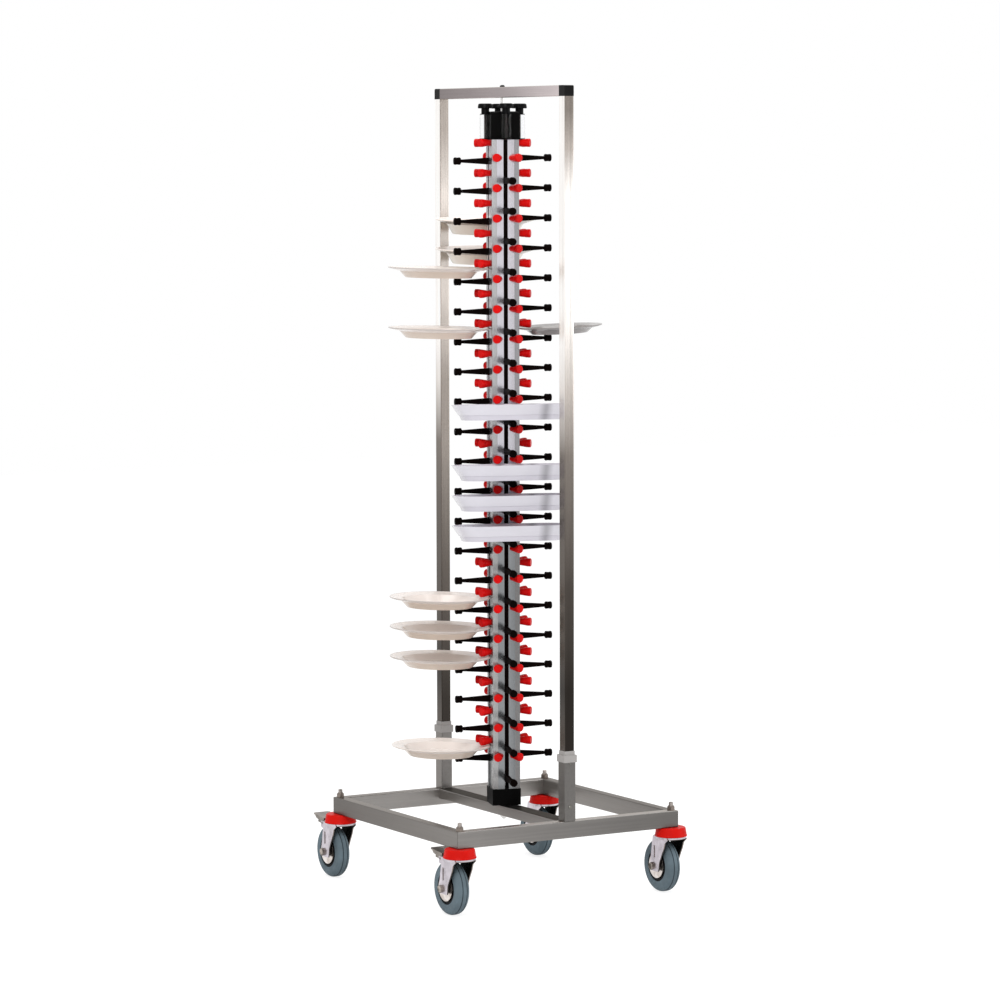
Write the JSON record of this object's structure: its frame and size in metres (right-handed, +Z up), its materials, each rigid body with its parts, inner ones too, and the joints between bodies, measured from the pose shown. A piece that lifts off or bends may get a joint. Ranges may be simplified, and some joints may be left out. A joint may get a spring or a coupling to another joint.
{
  "type": "plate dispenser cart",
  "caption": "Wheeled plate dispenser cart: a turning square column of red pegs and black arms holds filled plates on four sides, under a steel arch on a castor base.",
  "frame": {"origin": "on the floor, at the middle of the footprint of the whole cart with its castors trailing to the rear", "axes": "+Z up, +X to the right along the front rail, +Y from the front rail to the rear rail, the way the castors trail"},
  "size_m": [0.652, 0.7139, 1.903],
  "materials": {
    "brushed_stainless": "brushed",
    "polished_stainless": "satin",
    "bright_steel": "bright",
    "zinc_plated_steel": "satin",
    "clear_plastic": "clear",
    "anodised_aluminium": "satin",
    "grey_plastic": "matt",
    "black_plastic": "gloss",
    "red_plastic": "gloss",
    "grey_tyre": "matt",
    "cream_porcelain": "glazed",
    "white_porcelain": "glazed"
  },
  "bodies": {
    "frame": {"front_rail": "brushed_stainless", "right_rail": "brushed_stainless", "rear_rail": "brushed_stainless", "left_rail": "brushed_stainless", "cross_bar": "brushed_stainless", "upright_sockets": "brushed_stainless", "upright_collars": "grey_plastic", "front_upright": "polished_stainless", "rear_upright": "polished_stainless", "corner_elbows": "black_plastic", "top_bar": "polished_stainless", "socket_screws": "bright_steel", "spindle": "bright_steel", "spindle_nut_and_washer": "bright_steel", "spindle_cap": "black_plastic", "castor_studs": "zinc_plated_steel", "stud_nuts": "bright_steel", "swivel_covers": "red_plastic"},
    "column": {"front_left_profile": "anodised_aluminium", "front_right_profile": "anodised_aluminium", "rear_left_profile": "anodised_aluminium", "rear_right_profile": "anodised_aluminium", "bottom_block": "black_plastic", "top_block": "black_plastic", "knob_sleeves": "clear_plastic", "lift_screws": "bright_steel", "front_pegs": "red_plastic", "right_pegs": "red_plastic", "rear_pegs": "red_plastic", "left_pegs": "red_plastic"},
    "front_carrier": {"front_arms": "black_plastic"},
    "front_lift": {"front_knob": "black_plastic"},
    "front_load": {"front_plates": "white_porcelain"},
    "right_carrier": {"right_arms": "black_plastic"},
    "right_lift": {"right_knob": "black_plastic"},
    "right_load": {"right_plates": "white_porcelain"},
    "rear_carrier": {"rear_arms": "black_plastic"},
    "rear_lift": {"rear_knob": "black_plastic"},
    "rear_load": {"rear_plates": "cream_porcelain"},
    "left_carrier": {"left_arms": "black_plastic"},
    "left_lift": {"left_knob": "black_plastic"},
    "left_load": {"left_plates": "cream_porcelain"},
    "front_left_swivel": {"front_left_fork": "zinc_plated_steel", "front_left_axle": "zinc_plated_steel"},
    "front_left_wheel": {"front_left_tyre": "grey_tyre", "front_left_rim": "black_plastic"},
    "front_left_brake": {"front_left_brake_pedal": "zinc_plated_steel"},
    "front_right_swivel": {"front_right_fork": "zinc_plated_steel", "front_right_axle": "zinc_plated_steel"},
    "front_right_wheel": {"front_right_tyre": "grey_tyre", "front_right_rim": "black_plastic"},
    "rear_left_swivel": {"rear_left_fork": "zinc_plated_steel", "rear_left_axle": "zinc_plated_steel"},
    "rear_left_wheel": {"rear_left_tyre": "grey_tyre", "rear_left_rim": "black_plastic"},
    "rear_left_brake": {"rear_left_brake_pedal": "zinc_plated_steel"},
    "rear_right_swivel": {"rear_right_fork": "zinc_plated_steel", "rear_right_axle": "zinc_plated_steel"},
    "rear_right_wheel": {"rear_right_tyre": "grey_tyre", "rear_right_rim": "black_plastic"}
  },
  "joints": [
    {"name": "column_turn", "type": "hinge", "parent": "frame", "child": "column", "pos_m": [0, -0.031, 0.2], "axis": [0, 0, 1], "continuous": true},
    {"name": "front_arm_height", "type": "slide", "parent": "column", "child": "front_carrier", "axis": [0, 0, 1], "range_m": [-0.0087, 0]},
    {"name": "front_knob_turn", "type": "hinge", "parent": "column", "child": "front_lift", "pos_m": [-0.01301, -0.06988, 1.85], "axis": [0, 0, 1], "range_deg": [-1047, 2]},
    {"name": "right_arm_height", "type": "slide", "parent": "column", "child": "right_carrier", "axis": [0, 0, 1], "range_m": [-0.027, 0]},
    {"name": "right_knob_turn", "type": "hinge", "parent": "column", "child": "right_lift", "pos_m": [0.03888, -0.04401, 1.85], "axis": [0, 0, 1], "range_deg": [-3243, 2]},
    {"name": "rear_arm_height", "type": "slide", "parent": "column", "child": "rear_carrier", "axis": [0, 0, 1], "range_m": [-0.0087, 0]},
    {"name": "rear_knob_turn", "type": "hinge", "parent": "column", "child": "rear_lift", "pos_m": [0.01301, 0.00788, 1.85], "axis": [0, 0, 1], "range_deg": [-1047, 2]},
    {"name": "left_arm_height", "type": "slide", "parent": "column", "child": "left_carrier", "axis": [0, 0, 1], "range_m": [-0.0195, 0]},
    {"name": "left_knob_turn", "type": "hinge", "parent": "column", "child": "left_lift", "pos_m": [-0.03888, -0.01799, 1.85], "axis": [0, 0, 1], "range_deg": [-2343, 2]},
    {"name": "left_plates_out", "type": "slide", "parent": "left_carrier", "child": "left_load", "axis": [-0.9481, 0.3172, 0.0209], "range_m": [0, 0.3]},
    {"name": "right_plates_out", "type": "slide", "parent": "right_carrier", "child": "right_load", "axis": [0.9473, -0.317, 0.0454], "range_m": [0, 0.3]},
    {"name": "rear_plates_out", "type": "slide", "parent": "rear_carrier", "child": "rear_load", "axis": [0.8947, 0.4461, 0.0247], "range_m": [0, 0.3]},
    {"name": "front_plates_out", "type": "slide", "parent": "front_carrier", "child": "front_load", "axis": [-0.8943, -0.4459, 0.037], "range_m": [0, 0.3]},
    {"name": "front_left_swivel_turn", "type": "hinge", "parent": "frame", "child": "front_left_swivel", "pos_m": [-0.2875, -0.3185, 0.1345], "axis": [0, 0, 1], "continuous": true},
    {"name": "front_left_wheel_spin", "type": "hinge", "parent": "front_left_swivel", "child": "front_left_wheel", "pos_m": [-0.2875, -0.2805, 0.0625], "axis": [1, 0, 0], "continuous": true},
    {"name": "front_left_brake_tilt", "type": "hinge", "parent": "front_left_swivel", "child": "front_left_brake", "pos_m": [-0.2875, -0.2755, 0.1325], "axis": [-1, 0, 0], "range_deg": [-4, 14]},
    {"name": "front_right_swivel_turn", "type": "hinge", "parent": "frame", "child": "front_right_swivel", "pos_m": [0.2875, -0.3185, 0.1345], "axis": [0, 0, 1], "continuous": true},
    {"name": "front_right_wheel_spin", "type": "hinge", "parent": "front_right_swivel", "child": "front_right_wheel", "pos_m": [0.2875, -0.2805, 0.0625], "axis": [1, 0, 0], "continuous": true},
    {"name": "rear_left_swivel_turn", "type": "hinge", "parent": "frame", "child": "rear_left_swivel", "pos_m": [-0.2875, 0.2565, 0.1345], "axis": [0, 0, 1], "continuous": true},
    {"name": "rear_left_wheel_spin", "type": "hinge", "parent": "rear_left_swivel", "child": "rear_left_wheel", "pos_m": [-0.2875, 0.2945, 0.0625], "axis": [1, 0, 0], "continuous": true},
    {"name": "rear_left_brake_tilt", "type": "hinge", "parent": "rear_left_swivel", "child": "rear_left_brake", "pos_m": [-0.2875, 0.2995, 0.1325], "axis": [-1, 0, 0], "range_deg": [-4, 14]},
    {"name": "rear_right_swivel_turn", "type": "hinge", "parent": "frame", "child": "rear_right_swivel", "pos_m": [0.2875, 0.2565, 0.1345], "axis": [0, 0, 1], "continuous": true},
    {"name": "rear_right_wheel_spin", "type": "hinge", "parent": "rear_right_swivel", "child": "rear_right_wheel", "pos_m": [0.2875, 0.2945, 0.0625], "axis": [1, 0, 0], "continuous": true}
  ],
  "couplings": [
    {"joint": "front_knob_turn", "follows": "front_arm_height", "rad_per_m": 2094.4},
    {"joint": "right_knob_turn", "follows": "right_arm_height", "rad_per_m": 2094.4},
    {"joint": "rear_knob_turn", "follows": "rear_arm_height", "rad_per_m": 2094.4},
    {"joint": "left_knob_turn", "follows": "left_arm_height", "rad_per_m": 2094.4}
  ]
}
